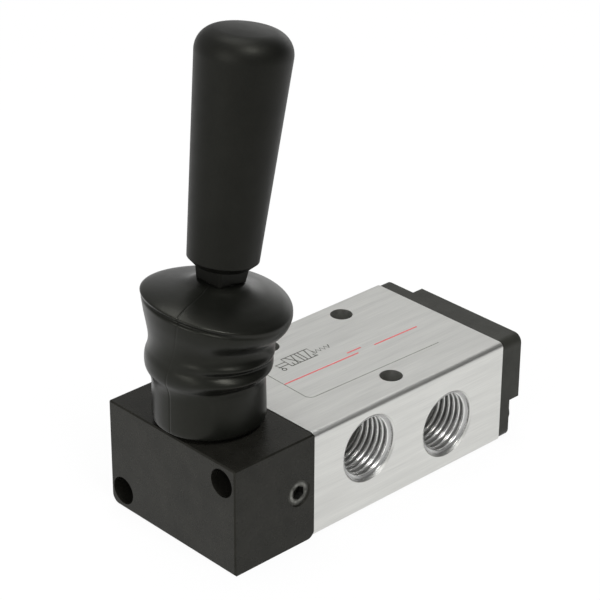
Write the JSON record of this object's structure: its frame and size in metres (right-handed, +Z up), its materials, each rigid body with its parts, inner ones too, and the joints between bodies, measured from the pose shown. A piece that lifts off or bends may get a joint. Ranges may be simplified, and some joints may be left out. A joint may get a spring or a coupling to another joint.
{
  "type": "hand lever air valve",
  "caption": "Hand-operated spool valve: a brushed rectangular body with threaded ports and mounting holes, a black lever block with a rubber bellows, a tapered grip and an end cap.",
  "frame": {"origin": "centre of the valve body's underside", "axes": "+X along the body from the lever block to the end cap, -Y towards the side with two ports, +Z up"},
  "size_m": [0.0773, 0.035, 0.0955],
  "materials": {
    "body_aluminium": "brushed along the body",
    "housing_black": "black anodised, satin",
    "cap_black": "black, satin",
    "seal_rubber": "smooth",
    "screw_black": "black oxide",
    "steel": "ground",
    "grip_plastic": "satin black",
    "brass": "turned",
    "boot_rubber": "moulded, satin",
    "spool_aluminium": "turned",
    "wear_plastic": "smooth"
  },
  "bodies": {
    "housing": {"valve_body": "body_aluminium", "lever_housing": "housing_black", "end_cap": "cap_black", "housing_seal": "seal_rubber", "cap_seal": "seal_rubber", "spool_bumper": "seal_rubber", "housing_screws": "screw_black", "cap_screws": "screw_black", "pivot_pin": "steel", "detent_spring": "steel", "detent_screw": "screw_black", "boot": "boot_rubber"},
    "lever": {"lever_rod": "steel", "lever_grip": "grip_plastic", "grip_insert": "brass"},
    "spool": {"shift_shaft": "steel", "spool": "spool_aluminium", "spool_seals": "seal_rubber", "wear_rings": "wear_plastic"},
    "detent": {"detent_ball": "steel"}
  },
  "joints": [
    {"name": "lever_swing", "type": "hinge", "parent": "housing", "child": "lever", "pos_m": [-0.03503, 0, 0.028], "axis": [0, -1, 0], "range_deg": [0, 16.2], "deforming": ["boot"]},
    {"name": "spool_slide", "type": "slide", "parent": "housing", "child": "spool", "axis": [1, 0, 0], "range_m": [0, 0.00479]},
    {"name": "detent_press", "type": "slide", "parent": "housing", "child": "detent", "axis": [0, 1, 0], "range_m": [0, 0.00035], "deforming": ["detent_spring"]}
  ],
  "couplings": [
    {"joint": "spool_slide", "follows": "lever_swing", "m_per_rad": 0.016943}
  ]
}
